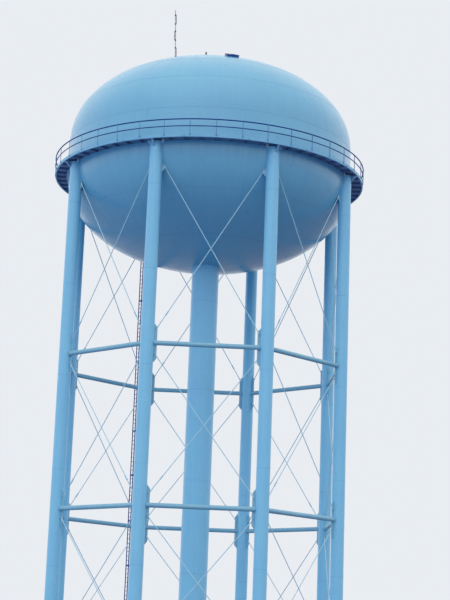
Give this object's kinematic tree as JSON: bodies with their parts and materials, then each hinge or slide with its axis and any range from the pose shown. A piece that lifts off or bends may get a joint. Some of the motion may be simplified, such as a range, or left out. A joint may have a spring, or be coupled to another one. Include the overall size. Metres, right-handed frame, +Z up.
{
  "type": "elevated steel water tank, 1:2 scale model",
  "caption": "Elevated steel water tower as a 1:2 scale model: domed tank with railed walkway and opening roof hatch, on round braced columns with a central riser.",
  "frame": {"origin": "centre of the tower on the ground, at the underside of the piers", "axes": "+Z up along the tower's axis, -Y towards the side seen in the picture, +X to its right"},
  "size_m": [10.6822, 10.6822, 22.9244],
  "materials": {
    "tank_paint": "semi-gloss light blue paint over welded plate",
    "steel_paint": "semi-gloss light blue paint",
    "walkway_paint": "semi-gloss light blue paint, dusty",
    "rail_paint": "semi-gloss mid blue paint",
    "hatch_paint": "semi-gloss dark blue paint",
    "mast_metal": "weathered matt",
    "light_paint": "faded dark red",
    "concrete": null
  },
  "bodies": {
    "tower": {"roof_crown": "tank_paint", "roof_hatch_plate": "tank_paint", "roof_plate_1": "tank_paint", "roof_plate_2": "tank_paint", "roof_plate_3": "tank_paint", "tank_shell": "tank_paint", "bowl_right": "tank_paint", "bowl_left": "tank_paint", "riser": "steel_paint", "riser_pier": "concrete", "overflow_pipe": "steel_paint", "column_1": "steel_paint", "pier_1": "concrete", "bracing_1": "steel_paint", "walkway_1": "walkway_paint", "railing_1": "rail_paint", "column_2": "steel_paint", "pier_2": "concrete", "bracing_2": "steel_paint", "walkway_2": "walkway_paint", "railing_2": "rail_paint", "column_3": "steel_paint", "pier_3": "concrete", "bracing_3": "steel_paint", "walkway_3": "walkway_paint", "railing_3": "rail_paint", "column_4": "steel_paint", "pier_4": "concrete", "bracing_4": "steel_paint", "walkway_4": "walkway_paint", "railing_4": "rail_paint", "column_5": "steel_paint", "pier_5": "concrete", "bracing_5": "steel_paint", "walkway_5": "walkway_paint", "railing_5": "rail_paint", "column_6": "steel_paint", "pier_6": "concrete", "bracing_6": "steel_paint", "walkway_6": "walkway_paint", "railing_6": "rail_paint", "column_7": "steel_paint", "pier_7": "concrete", "bracing_7": "steel_paint", "walkway_7": "walkway_paint", "railing_7": "rail_paint", "column_8": "steel_paint", "pier_8": "concrete", "bracing_8": "steel_paint", "walkway_8": "walkway_paint", "railing_8": "rail_paint", "leg_ladder": "rail_paint", "roof_ladder": "rail_paint", "hatch_frame": "hatch_paint", "roof_vent": "tank_paint", "obstruction_light": "light_paint", "antenna_mast": "mast_metal"},
    "lid": {"hatch_lid": "hatch_paint"}
  },
  "joints": [
    {"name": "hatch_hinge", "type": "hinge", "parent": "tower", "child": "lid", "pos_m": [0.46725, -2.79218, 20.28537], "axis": [-0.9863, -0.165, 0], "range_deg": [0, 100]}
  ]
}
